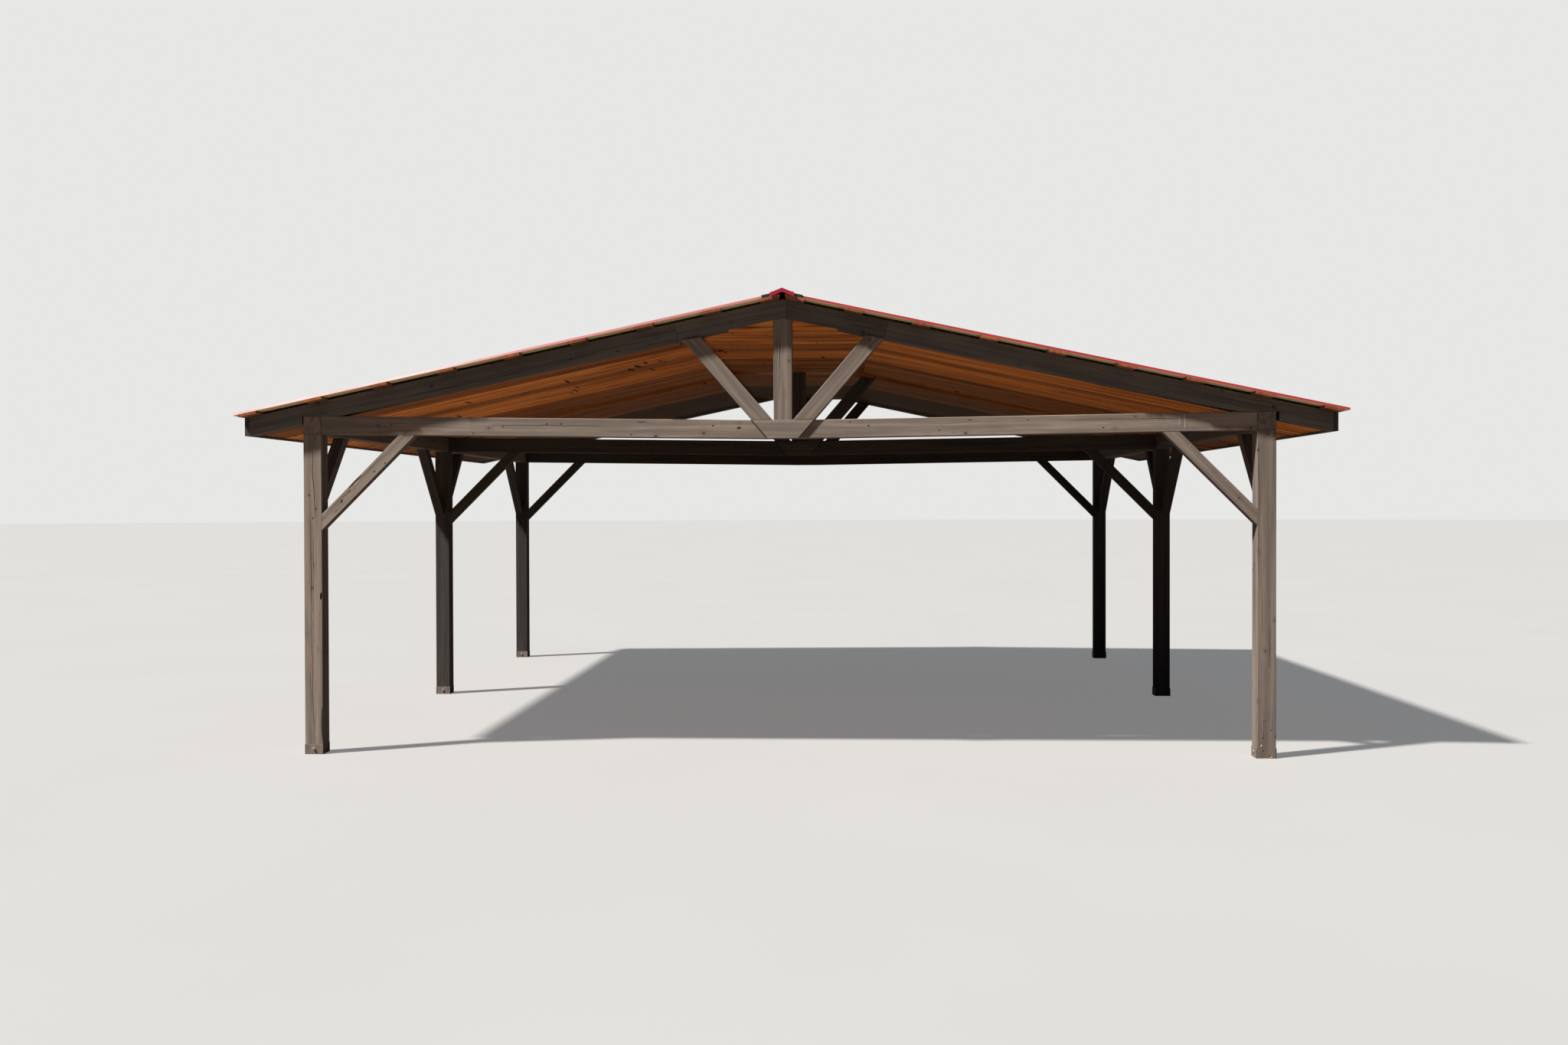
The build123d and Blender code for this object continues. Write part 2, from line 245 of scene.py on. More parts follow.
def corners(piece):
    points = [vertex.co for vertex in piece.data.vertices]
    low = Vector(min(point[axis] for point in points) for axis in range(3))
    high = Vector(max(point[axis] for point in points) for axis in range(3))
    return low, high


def middle(piece):
    low, high = corners(piece)
    return (low + high) / 2


def edge_line(mesh, edge):
    start, end = (mesh.vertices[index].co for index in edge.vertices)
    return end - start


def grain_line(piece):
    """The direction of a timber's longest edge, which its grain follows."""
    lines = [edge_line(piece.data, edge) for edge in piece.data.edges]
    return max(lines, key=lambda line: line.length).normalized()


def grain_turn(line):
    """Turns the carport's axes to a timber's own: along the grain and two ways across it."""
    side = UP.cross(line) if abs(line.z) < 0.9 else ALONG.cross(line)
    side.normalize()
    return Matrix((line, side, line.cross(side)))


def lay_grain(piece, line, heart):
    """Writes each point's place along and across the grain, and a tone for the whole timber."""
    mesh = piece.data
    turn = grain_turn(line)
    centre = middle(piece)
    shift = Vector((chance.uniform(2, 60), *heart))
    places = [turn @ (vertex.co - centre) + shift for vertex in mesh.vertices]
    mesh.attributes.new("grain", "FLOAT_VECTOR", "POINT")
    values = [value for place in places for value in place]
    mesh.attributes["grain"].data.foreach_set("vector", values)
    mesh.attributes.new("tone", "FLOAT", "POINT")
    set_tone(piece, chance.random())


def set_tone(piece, tone):
    """A tone for a whole piece, from 0 for dark to 1 for pale."""
    mesh = piece.data
    mesh.attributes["tone"].data.foreach_set("value", [tone] * len(mesh.vertices))


def boxed_heart():
    """A heart a little off the middle, as in a timber sawn around it."""
    return (chance.uniform(-0.03, 0.03), chance.uniform(-0.03, 0.03))


def sawn_heart():
    """A heart well outside a board, which gives it long arched figures."""
    return (chance.uniform(-0.08, 0.08), chance.choice((-1, 1)) * chance.uniform(0.04, 0.16))


def bite(piece, cutter, lining="stained"):
    """Cuts the cutter's shape out of a piece, lines the cut, and throws the cutter away."""
    cutter.data.materials.append(finishes[lining])
    pick(piece)
    cut = piece.modifiers.new("cut", "BOOLEAN")
    cut.operation = "DIFFERENCE"
    cut.solver = "EXACT"
    cut.material_mode = "TRANSFER"
    cut.object = cutter
    bpy.ops.object.modifier_apply(modifier=cut.name)
    drop(cutter)


def along_path(path, share):
    """The point at a share of the way along a row of points."""
    stretches = [(far - near).length for near, far in zip(path, path[1:])]
    left = share * sum(stretches)
    for near, far, stretch in zip(path, path[1:], stretches):
        if left <= stretch:
            return near.lerp(far, left / stretch)
        left -= stretch
    return path[-1].copy()


def cut_check(piece, path, outward, width, depth):
    """A V-shaped drying check along a row of points on a face that looks outward."""
    line = (path[-1] - path[0]).normalized()
    outward = (outward - line * outward.dot(line)).normalized()
    across = outward.cross(line)
    rings = max(12, round((path[-1] - path[0]).length / CHECK_STEP))
    wander = [chance.uniform(-1, 1) * width * 0.7 for ring in range(rings + 1)]
    bpy.ops.mesh.primitive_uv_sphere_add(segments=4, ring_count=rings, radius=1)
    cutter = bpy.context.object
    for vertex in cutter.data.vertices:
        place = vertex.co.copy()
        share = (place.z + 1) / 2
        sideways = place.x * width / 2 + wander[round(share * rings)] * (1 - abs(place.z))
        vertex.co = along_path(path, share) + across * sideways + outward * place.y * depth
    # The check is lined with the dark check finish, painted shade inside it
    bite(piece, cutter, "check")


def cut_scoop(piece, centre, line, outward, half_length, half_width, depth, lining="stained"):
    """A shallow hollow, such as wane along an edge, a torn spot or a dent."""
    outward = (outward - line * outward.dot(line)).normalized()
    across = outward.cross(line)
    bpy.ops.mesh.primitive_ico_sphere_add(subdivisions=3, radius=1)
    cutter = bpy.context.object
    for vertex in cutter.data.vertices:
        place = vertex.co.copy()
        rough = 1 + chance.uniform(-0.09, 0.09)
        along, beside = line * place.x * half_length, across * place.y * half_width
        vertex.co = centre + (along + beside + outward * place.z * depth) * rough
    bite(piece, cutter, lining)


def drill(piece, centre, line, radius, depth):
    """A round hole from centre, going in against line."""
    bpy.ops.mesh.primitive_cylinder_add(vertices=20, radius=radius, depth=2 * depth)
    cutter = bpy.context.object
    turn = line.to_track_quat("Z", "Y").to_matrix().to_4x4()
    cutter.data.transform(Matrix.Translation(centre) @ turn)
    # The hole is lined with the dark check finish, painted shade inside it
    bite(piece, cutter, "check")


def long_faces(piece, line):
    """The faces along the grain, as (middle, normal, length, width), with the largest first."""
    found = []
    mesh = piece.data
    for face in mesh.polygons:
        if abs(face.normal.dot(line)) > 0.2:
            continue
        across = line.cross(face.normal)
        points = [mesh.vertices[index].co for index in face.vertices]
        spans = []
        for way in (line, across):
            reaches = [point.dot(way) for point in points]
            spans.append(max(reaches) - min(reaches))
        found.append((face.center.copy(), face.normal.copy(), *spans))
    return sorted(found, key=lambda face: -face[2] * face[3])


def weather(piece, line, checks):
    """Cuts a few random drying checks into the larger faces of a timber."""
    faces = [face for face in long_faces(piece, line) if face[3] > WIDE_FACE][:4]
    for count in range(checks):
        centre, outward, length, width = faces[count % len(faces)]
        across = line.cross(outward)
        reach = min(length * 0.4, chance.uniform(*CHECK_REACHES))
        slide = chance.uniform(-0.5, 0.5) * (length * 0.8 - 2 * reach)
        place = centre + line * slide + across * chance.uniform(-0.25, 0.25) * width
        drift = across * chance.uniform(-CHECK_DRIFT, CHECK_DRIFT)
        path = [place - line * reach - drift, place + line * reach + drift]
        wide, deep = chance.uniform(*CHECK_WIDTHS), chance.uniform(*CHECK_DEPTHS)
        cut_check(piece, path, outward, wide, deep)


def mark_ends(piece, line):
    """Gives the sawn ends of a timber its second finish."""
    for face in piece.data.polygons:
        if face.material_index == 0 and abs(face.normal.dot(line)) > 0.8:
            face.material_index = 1


def mark_inner_faces(piece, coat):
    """Gives the coat to the faces of a timber that don't look out of the carport: a darker copy of
    the stain, painted shade.
    """
    inner_slot = piece.data.materials.find(finishes[coat].name)
    for face in piece.data.polygons:
        ways = zip(face.center.xy, face.normal.xy)
        outer = any(abs(place) > OUTER_FACE_FROM and normal * place > 1 for place, normal in ways)
        if face.material_index == 0 and not outer:
            face.material_index = inner_slot


def finish_piece(piece, slot, *nodes):
    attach(piece, "root")
    if nodes:
        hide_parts(*nodes)


# Finishes


class Finish:
    """One procedural finish: a shader and the nodes that feed it."""

    def __init__(self, name, roughness, specular=0.4, metallic=0.0):
        self.material = bpy.data.materials.new(name)
        self.material.use_nodes = True
        self.tree = self.material.node_tree
        self.shader = self.tree.nodes["Principled BSDF"]
        self.feed(self.shader.inputs["Roughness"], roughness)
        self.feed(self.shader.inputs["Specular IOR Level"], specular)
        self.feed(self.shader.inputs["Metallic"], metallic)

    def feed(self, socket, value):
        if isinstance(value, bpy.types.NodeSocket):
            self.tree.links.new(value, socket)
        else:
            socket.default_value = value

    def add(self, kind, *inputs, **settings):
        """A node of that kind. Its inputs come in its own order, and None leaves one as it is."""
        made = self.tree.nodes.new("ShaderNode" + kind)
        for setting, value in settings.items():
            setattr(made, setting, value)
        for socket, value in zip(made.inputs, inputs):
            if value is not None:
                self.feed(socket, value)
        return made

    def place(self):
        """The point's own place on the carport."""
        return self.add("TexCoord").outputs["Object"]

    def maths(self, operation, *inputs):
        return self.add("Math", *inputs, operation=operation).outputs[0]

    def times(self, first, second):
        return self.maths("MULTIPLY", first, second)

    def scaled(self, vector, factors):
        return self.add("VectorMath", vector, factors, operation="MULTIPLY").outputs[0]

    def noise(self, vector, scale, detail=3.0, roughness=0.5, distortion=0.0):
        made = self.add("TexNoise")
        made.inputs["Scale"].default_value = scale
        made.inputs["Detail"].default_value = detail
        made.inputs["Roughness"].default_value = roughness
        made.inputs["Distortion"].default_value = distortion
        self.feed(made.inputs["Vector"], vector)
        return made.outputs[0]

    def spread(self, value, low, high, to_low=0.0, to_high=1.0):
        """Stretches the range from low to high over the range from to_low to to_high."""
        made = self.add("MapRange", value, low, high, to_low, to_high)
        made.interpolation_type = "SMOOTHSTEP"
        return made.outputs[0]

    def mix(self, share, first, second, blend="MIX"):
        made = self.add("Mix", data_type="RGBA", blend_type=blend)
        self.feed(made.inputs[0], share)
        for socket, tint in zip((made.inputs[6], made.inputs[7]), (first, second)):
            self.feed(socket, tint if isinstance(tint, bpy.types.NodeSocket) else (*tint, 1))
        return made.outputs[2]

    def colour(self, value):
        self.feed(self.shader.inputs["Base Color"], value)

    def bump(self, height, distance, strength=1.0):
        """Adds a height in metres to the bumps that the shader has."""
        made = self.add("Bump")
        made.inputs["Strength"].default_value = strength
        made.inputs["Distance"].default_value = distance
        self.feed(made.inputs["Height"], height)
        earlier = self.shader.inputs["Normal"].links
        if earlier:
            self.feed(made.inputs["Normal"], earlier[0].from_socket)
        self.feed(self.shader.inputs["Normal"], made.outputs[0])


def wood(
    name,
    pale,
    middle_tone,
    dark,
    knot_colour,
    patches=None,
    patch_share=0.5,
    ring_width=0.006,
    ring_depth=0.35,
    streaks=0.6,
    streak_scale=26,
    knot_size=0.15,
    knot_limit=0.5,
    knot_spread=(8, 12, 12),
    tone_range=(0.86, 1.12),
    checks=1.0,
    dark_lines=0.3,
    roughness=0.8,
    specular=0.25,
    fibre_bump=0.7,
):
    """Solid wood in a timber's own frame: rings round the heart, streaks, fibres and knots."""
    wood_finish = Finish(name, roughness, specular)
    add, noise, scaled = wood_finish.add, wood_finish.noise, wood_finish.scaled
    maths, times = wood_finish.maths, wood_finish.times
    spread, mix = wood_finish.spread, wood_finish.mix
    grain = add("Attribute", attribute_name="grain").outputs["Vector"]
    tone = add("Attribute", attribute_name="tone").outputs["Fac"]

    # The grain wanders a little, and swells round the knots
    drift = noise(scaled(grain, (0.9, 4, 4)), 1.0, 2.0).node.outputs["Color"]
    drift = add("VectorMath", drift, (0.5, 0.5, 0.5), operation="SUBTRACT").outputs[0]
    bent = add("VectorMath", grain, scaled(drift, (0, 0.05, 0.05)), operation="ADD").outputs[0]
    knot_cells = add("TexVoronoi", feature="F1")
    wood_finish.feed(knot_cells.inputs["Vector"], scaled(grain, knot_spread))
    knot_cells.inputs["Scale"].default_value = 1.0
    chosen = add("SeparateColor", knot_cells.outputs["Color"]).outputs[0]
    chosen = maths("GREATER_THAN", chosen, knot_limit)
    apart = knot_cells.outputs["Distance"]
    knot = times(spread(apart, knot_size, knot_size * 0.45), chosen)
    halo = times(spread(apart, knot_size * 3.2, knot_size * 0.8), chosen)

    # Rings round the heart, by distance from the grain's own axis
    flat = scaled(bent, (0, 1, 1))
    radius = add("VectorMath", flat, operation="LENGTH").outputs["Value"]
    turns = maths("DIVIDE", radius, ring_width)
    turns = maths("ADD", turns, times(halo, 1.6))
    rings = maths("SINE", times(turns, 2 * math.pi))
    rings = spread(rings, -0.2, 1.0)

    # Streaks and fibres along the grain
    streak = noise(scaled(bent, (0.7, streak_scale, streak_scale)), 1.0, 5.0, 0.6)
    fibres = noise(scaled(bent, (7, 330, 330)), 1.0, 3.0, 0.65)
    patch = noise(scaled(grain, (1.6, 5, 5)), 1.0, 3.0, 0.6, 0.8)
    base = mix(spread(streak, 0.36, 0.64), dark, pale)
    base = mix(1 - streaks, base, middle_tone)
    patch = times(spread(patch, 0.52, 0.75), patch_share)
    base = mix(patch, base, patches or pale)
    base = mix(times(rings, ring_depth), base, mix(0.6, base, dark))
    base = mix(times(spread(fibres, 0.62, 0.38), 0.35), base, mix(0.5, base, dark))
    base = mix(times(halo, 0.35), base, mix(0.55, base, knot_colour))
    base = mix(knot, base, knot_colour)

    # Long dark lines, where the stain has gathered in the softer grain
    lines = spread(noise(scaled(bent, (0.35, 48, 48)), 1.0, 3.0, 0.5), 0.56, 0.66)
    base = mix(times(lines, dark_lines), base, mix(0.8, base, dark))

    # Fine checks, as thin lines along the grain
    check_field = noise(scaled(bent, (0.4, 22, 22)), 1.0, 2.0, 0.4)
    thin = spread(maths("ABSOLUTE", maths("SUBTRACT", check_field, 0.5)), 0.006, 0.0015)
    where = spread(noise(scaled(grain, (1.1, 3, 3)), 1.0, 1.0), 0.54, 0.62)
    fine_checks = times(times(thin, where), checks)
    base = mix(times(fine_checks, 0.7), base, (0.02, 0.016, 0.014))

    brightness = spread(tone, 0.0, 1.0, *tone_range)
    grey = add("CombineXYZ", brightness, brightness, brightness).outputs[0]
    wood_finish.colour(mix(1.0, base, grey, "MULTIPLY"))
    wood_finish.bump(fibres, 0.0009, fibre_bump)
    wood_finish.bump(streak, 0.0014, 0.5)
    wood_finish.bump(maths("SUBTRACT", 1.0, fine_checks), 0.002, 0.8)
    wood_finish.bump(knot, 0.0012, 0.5)
    return wood_finish.material


def make_finishes():
    made = {}
    timber_looks = {"ring_width": 0.0075, "knot_size": 0.13, "roughness": 0.82}
    inner_looks = {"ring_depth": 0.3, "knot_limit": 0.66, **timber_looks}
    made["stained"] = wood(
        "stained_timber",
        pale=(0.312, 0.256, 0.215),
        middle_tone=(0.230, 0.186, 0.154),
        dark=(0.122, 0.098, 0.083),
        knot_colour=(0.065, 0.042, 0.030),
        patches=(0.288, 0.214, 0.158),
        ring_depth=0.32,
        knot_limit=0.62,
        **timber_looks,
    )
    # A darker copy of the stain: painted shade, for the rafters, eave beams, fascias and the front
    # row's inner faces
    made["shaded"] = wood(
        "shaded_timber",
        pale=(0.165, 0.150, 0.143),
        middle_tone=(0.120, 0.108, 0.102),
        dark=(0.066, 0.059, 0.057),
        knot_colour=(0.040, 0.028, 0.022),
        patches=(0.155, 0.125, 0.104),
        **inner_looks,
    )
    # A still darker copy of the stain: painted deep shade for the inner faces of the middle and
    # rear rows
    made["deep_painted_shade"] = wood(
        "timber_deep_painted_shade",
        pale=(0.066, 0.060, 0.055),
        middle_tone=(0.047, 0.043, 0.039),
        dark=(0.026, 0.023, 0.022),
        knot_colour=(0.016, 0.012, 0.010),
        patches=(0.060, 0.050, 0.042),
        **inner_looks,
    )
    end_looks = {"ring_depth": 0.85, "checks": 0.0, "knot_limit": 1.1, "roughness": 0.9}
    made["stained_end"] = wood(
        "stained_end_grain",
        pale=(0.29, 0.24, 0.20),
        middle_tone=(0.22, 0.18, 0.15),
        dark=(0.12, 0.095, 0.08),
        knot_colour=(0.05, 0.04, 0.03),
        **end_looks,
    )
    # Dark end grain: painted shade on the ends of the shaded timbers
    made["shaded_end"] = wood(
        "shaded_end_grain",
        pale=(0.085, 0.080, 0.078),
        middle_tone=(0.062, 0.057, 0.055),
        dark=(0.035, 0.032, 0.031),
        knot_colour=(0.04, 0.03, 0.025),
        **end_looks,
    )
    made["purlin"] = wood(
        "purlin_board",
        pale=(0.33, 0.160, 0.080),
        middle_tone=(0.24, 0.108, 0.052),
        dark=(0.13, 0.058, 0.030),
        knot_colour=(0.05, 0.025, 0.015),
        patches=(0.26, 0.17, 0.11),
        ring_width=0.009,
        roughness=0.78,
    )
    made["purlin_end"] = wood(
        "purlin_end_grain",
        pale=(0.44, 0.165, 0.062),
        middle_tone=(0.31, 0.105, 0.038),
        dark=(0.15, 0.048, 0.020),
        knot_colour=(0.05, 0.02, 0.012),
        ring_width=0.005,
        **end_looks,
    )
    board_looks = {
        "ring_width": 0.021,
        "ring_depth": 0.35,
        "streaks": 0.9,
        "streak_scale": 13,
        "patch_share": 0.7,
        "knot_limit": 0.66,
        "knot_size": 0.15,
        "knot_spread": (3.2, 7, 7),
        "tone_range": (0.42, 1.22),
        "checks": 0.5,
        "roughness": 0.75,
        "specular": 0.12,
        "fibre_bump": 0.4,
        "dark_lines": 0.6,
    }
    made["ceiling"] = wood(
        "ceiling_board",
        pale=(0.92, 0.340, 0.070),
        middle_tone=(0.72, 0.230, 0.040),
        dark=(0.27, 0.076, 0.016),
        knot_colour=(0.030, 0.011, 0.005),
        patches=(0.78, 0.34, 0.095),
        **board_looks,
    )
    # A darker copy of the ceiling boards: painted shade for the rear of the roof
    made["ceiling_painted_shade"] = wood(
        "ceiling_board_painted_shade",
        pale=(0.20, 0.078, 0.024),
        middle_tone=(0.12, 0.043, 0.014),
        dark=(0.050, 0.019, 0.007),
        knot_colour=(0.015, 0.007, 0.004),
        patches=(0.15, 0.060, 0.020),
        **board_looks,
    )
    made["brown"] = wood(
        "brown_rafter",
        pale=(0.46, 0.180, 0.050),
        middle_tone=(0.34, 0.122, 0.031),
        dark=(0.17, 0.055, 0.015),
        knot_colour=(0.03, 0.011, 0.006),
        ring_depth=0.3,
        knot_limit=0.7,
        specular=0.15,
    )
    made["brown_end"] = wood(
        "brown_rafter_end_grain",
        pale=(0.30, 0.12, 0.04),
        middle_tone=(0.22, 0.08, 0.026),
        dark=(0.10, 0.035, 0.012),
        knot_colour=(0.03, 0.011, 0.006),
        **end_looks,
    )
    for key, name, dark, pale, scale in (
        ("timber_knot", "timber_knot", (0.022, 0.014, 0.010), (0.085, 0.050, 0.032), 70),
        ("ceiling_knot", "ceiling_knot", (0.018, 0.007, 0.004), (0.085, 0.030, 0.012), 50),
        # The inside of checks and holes: dark, as painted shade in the recess
        ("check", "check_inside_shade", (0.020, 0.016, 0.014), (0.060, 0.048, 0.040), 60),
        ("bark", "bark", (0.045, 0.032, 0.024), (0.15, 0.105, 0.075), 90),
        ("chip", "fresh_chip", (0.42, 0.26, 0.14), (0.78, 0.62, 0.44), 220),
    ):
        made[key] = rough_wood(name, dark, pale, scale)
    made["roof_red"] = baked_paint("roof_red", (0.245, 0.014, 0.017), (0.31, 0.024, 0.024))
    made["ridge_red"] = baked_paint("ridge_red", (0.36, 0.010, 0.036), (0.42, 0.018, 0.048))
    made["sheet_tan"] = baked_paint("sheet_underside", (0.84, 0.70, 0.44), (0.88, 0.76, 0.54))
    made["rake_edge"] = rake_edge()
    made["cut_metal"] = bare_metal("cut_metal_edge", (0.55, 0.50, 0.48))
    made["foam"] = closure_foam()
    made["shoe"] = stained_steel()
    made["zinc"] = bare_metal("zinc_fastener", (0.58, 0.57, 0.55))
    made["washer"] = rubber_washer()
    return made


def baked_paint(name, base, faded):
    paint = Finish(name, 0.5, 0.35)
    place = paint.place()
    drifts = paint.noise(paint.scaled(place, (0.5, 3.0, 0.5)), 1.0, 4.0, 0.6)
    runs = paint.noise(paint.scaled(place, (0.9, 9.0, 0.9)), 1.0, 4.0, 0.6)
    specks = paint.noise(place, 260.0, 2.0, 0.6)
    share = paint.times(paint.spread(drifts, 0.35, 0.7), 0.8)
    paint_colour = paint.mix(share, base, faded)
    dust = paint.times(paint.spread(runs, 0.55, 0.8), 0.10)
    paint_colour = paint.mix(dust, paint_colour, (0.42, 0.33, 0.27))
    dirt = paint.times(paint.spread(specks, 0.64, 0.74), 0.35)
    paint.colour(paint.mix(dirt, paint_colour, (0.10, 0.06, 0.05)))
    paint.feed(paint.shader.inputs["Roughness"], paint.spread(runs, 0.3, 0.8, 0.40, 0.60))
    paint.bump(paint.noise(place, 2.2, 2.0), 0.004, 0.35)
    paint.bump(specks, 0.0002, 0.3)
    return paint.material


def rake_edge():
    """The end ribs' outer flanks: red along the crest, with the tan back coat below it."""
    edge = Finish("rake_edge", 0.5, 0.3)
    place = edge.place()
    across, _, height = edge.add("SeparateXYZ", place).outputs
    slope = math.tan(math.radians(ROOF_PITCH))
    fall = edge.times(edge.maths("ABSOLUTE", across), slope)
    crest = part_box("left_roof_sheet")[1].z + SHEET_RIDGE_GAP * slope
    below = edge.maths("SUBTRACT", crest, edge.maths("ADD", height, fall))
    wander = edge.noise(place, 6.0, 3.0)
    wander = edge.times(edge.maths("SUBTRACT", wander, 0.5), 0.002)
    below = edge.maths("ADD", below, wander)
    grime = edge.noise(edge.scaled(place, (9, 1, 60)), 1.0, 4.0, 0.6)
    back_coat = edge.spread(grime, 0.35, 0.65)
    back_coat = edge.mix(back_coat, (0.22, 0.150, 0.085), (0.31, 0.220, 0.130))
    edge.colour(edge.mix(edge.spread(below, 0.006, 0.008), (0.36, 0.022, 0.026), back_coat))
    edge.bump(grime, 0.0003, 0.4)
    return edge.material


def bare_metal(name, tint):
    metal = Finish(name, 0.45, 0.5, 0.85)
    place = metal.place()
    spots = metal.noise(place, 90.0, 4.0, 0.6)
    metal.colour(metal.mix(metal.spread(spots, 0.4, 0.7), tint, tuple(0.62 * v for v in tint)))
    metal.feed(metal.shader.inputs["Roughness"], metal.spread(spots, 0.3, 0.7, 0.35, 0.65))
    metal.bump(spots, 0.0003, 0.4)
    return metal.material


def closure_foam():
    foam = Finish("closure_foam", 0.95, 0.15)
    place = foam.place()
    cells = foam.add("TexVoronoi", feature="F1")
    foam.feed(cells.inputs["Vector"], place)
    cells.inputs["Scale"].default_value = 420.0
    skin = cells.outputs["Distance"]
    foam.colour(foam.mix(foam.spread(skin, 0.2, 0.6), (0.012, 0.012, 0.013), (0.045, 0.043, 0.043)))
    foam.bump(skin, 0.0008, 0.8)
    return foam.material


def stained_steel():
    steel = Finish("stained_shoe_steel", 0.6, 0.4)
    place = steel.place()
    brushed = steel.noise(steel.scaled(place, (30, 30, 6)), 1.0, 4.0, 0.6)
    flaking = steel.noise(place, 60.0, 5.0, 0.65)
    coat = steel.spread(brushed, 0.35, 0.65)
    coat = steel.mix(coat, (0.135, 0.110, 0.093), (0.215, 0.178, 0.150))
    steel.colour(steel.mix(steel.spread(flaking, 0.66, 0.70), coat, (0.48, 0.46, 0.43)))
    steel.bump(brushed, 0.0006, 0.6)
    steel.bump(flaking, 0.0004, 0.5)
    return steel.material


def rubber_washer():
    rubber = Finish("rubber_washer", 0.8, 0.2)
    place = rubber.place()
    grit = rubber.noise(place, 300.0, 3.0)
    shade = rubber.spread(grit, 0.3, 0.7)
    rubber.colour(rubber.mix(shade, (0.015, 0.015, 0.015), (0.05, 0.048, 0.045)))
    rubber.bump(grit, 0.0002, 0.5)
    return rubber.material


def rough_wood(name, dark, pale, scale):
    """Torn, knotty or barky wood, mottled at a scale in spots a metre."""
    rough = Finish(name, 0.9, 0.15)
    place = rough.place()
    mottled = rough.noise(place, scale, 5.0, 0.7, 0.6)
    rough.colour(rough.mix(rough.spread(mottled, 0.32, 0.70), dark, pale))
    rough.bump(mottled, 0.0015, 0.9)
    return rough.material


# Timbers


def dress_timbers(node, checks=2, soften=0.0, coat="stained", end_coat=None, inner_coat=None):
    """Real timbers in place of a part: eased, checked, with sawn ends, and painted shade from the
    inner coat on the faces that don't look out of the carport.
    """
    made = []
    for timber in stock(node):
        line = grain_line(timber)
        timber.data.materials.append(finishes[coat])
        timber.data.materials.append(finishes[(end_coat or coat) + "_end"])
        if inner_coat:
            timber.data.materials.append(finishes[inner_coat])
        if soften:
            ease(timber, line, soften)
        mark_front(timber, node)
        weather(timber, line, checks)
        lay_grain(timber, line, boxed_heart())
        if node in TIMBER_TONES:
            set_tone(timber, TIMBER_TONES[node])
        mark_ends(timber, line)
        mark_inner_faces(timber, inner_coat or coat)
        made.append(timber)
    piece = join(made, node + "_timber")
    finish_piece(piece, "stained_timber", node)
    return piece


def ease(piece, line, width):
    """Rounds the edges that run along the grain."""
    clear_choice(piece, "EDGE")
    for edge in piece.data.edges:
        way = edge_line(piece.data, edge)
        edge.select = way.length > LONG_EDGE and abs(way.normalized().dot(line)) > 0.98
    bpy.ops.object.mode_set(mode="EDIT")
    bpy.ops.mesh.bevel(offset=width, segments=2, affect="EDGES")
    leave()


# What the photograph shows on the front gable's timbers. Each mark has a kind, the pixels that it
# runs through, its width and its depth.
FRONT_MARKS = {
    "front_left_post": (
        (
            "check",
            ((407.7, 574), (408.6, 622), (410.4, 649), (411.7, 671), (411, 679)),
            0.005,
            0.024,
        ),
        ("check", ((405.4, 671), (405.9, 700), (407.6, 850), (409.7, 950)), 0.0045, 0.022),
        ("bark", ((419.4, 774), (419.0, 784)), 0.016, 0.008),
        ("stained", ((421.4, 922), (421.8, 968)), 0.022, 0.012),
    ),
    "front_right_post": (
        ("chip", ((1646.3, 970.6), (1646.8, 974.8)), 0.014, 0.006),
        ("bark", ((1650, 963), (1650, 965.4)), 0.010, 0.003),
        ("bark", ((1650.4, 980), (1650, 982.4)), 0.010, 0.003),
        ("bark", ((1660, 953), (1660, 955.4)), 0.009, 0.003),
        ("bark", ((1653, 941), (1653, 943.2)), 0.009, 0.003),
        ("bark", ((1665.7, 960.6), (1665.7, 963.4)), 0.012, 0.003),
        ("chip", ((1659.2, 986.6), (1659.2, 989.8)), 0.018, 0.002),
        ("hole", ((1659.2, 988.2),), 0.012, 0.040),
    ),
    "front_knee_braces": (
        ("stained", ((455.6, 638.6), (472.6, 620.6)), 0.024, 0.006),
        ("chip", ((455, 640.6), (462, 633)), 0.006, 0.004),
        ("chip", ((463, 634.4), (468, 629)), 0.005, 0.004),
        ("chip", ((461, 641.6), (464.6, 637.6)), 0.005, 0.003),
        ("chip", ((468.6, 624.6), (473, 620)), 0.005, 0.004),
        ("bark", ((454.6, 643.6), (458, 640)), 0.006, 0.006),
        ("check", ((500, 594), (482, 613), (470, 626)), 0.003, 0.020),
        ("check", ((428, 668), (446, 650), (459, 641)), 0.003, 0.016),
        ("chip", ((1552, 579.4), (1554.6, 581.6)), 0.014, 0.008),
        ("chip", ((1600.4, 628.4), (1602.2, 626)), 0.005, 0.002),
    ),
    "front_struts": (
        ("check", ((896, 443.2), (908, 441.4), (919, 439.7)), 0.006, 0.020),
        ("chip", ((918, 440.2), (921, 440.8)), 0.009, 0.006),
        ("chip", ((920, 442), (925.4, 448.4)), 0.008, 0.005),
        ("chip", ((924.6, 447.4), (929, 453.4)), 0.006, 0.004),
    ),
    "front_tie_beams": (
        ("check", ((831, 551.0), (845, 551.3)), 0.005, 0.014),
        ("bark", ((644, 572.6), (683, 572.6)), 0.014, 0.009),
        ("bark", ((705, 572.6), (766, 572.6)), 0.016, 0.010),
        ("bark", ((858, 572.8), (919, 572.8)), 0.014, 0.009),
        ("chip", ((1508.2, 548), (1509.8, 548)), 0.008, 0.002),
        ("chip", ((1540.2, 544.5), (1540.2, 554.5)), 0.004, 0.001),
        ("chip", ((1547.2, 539.4), (1547.4, 559)), 0.005, 0.001),
    ),
}
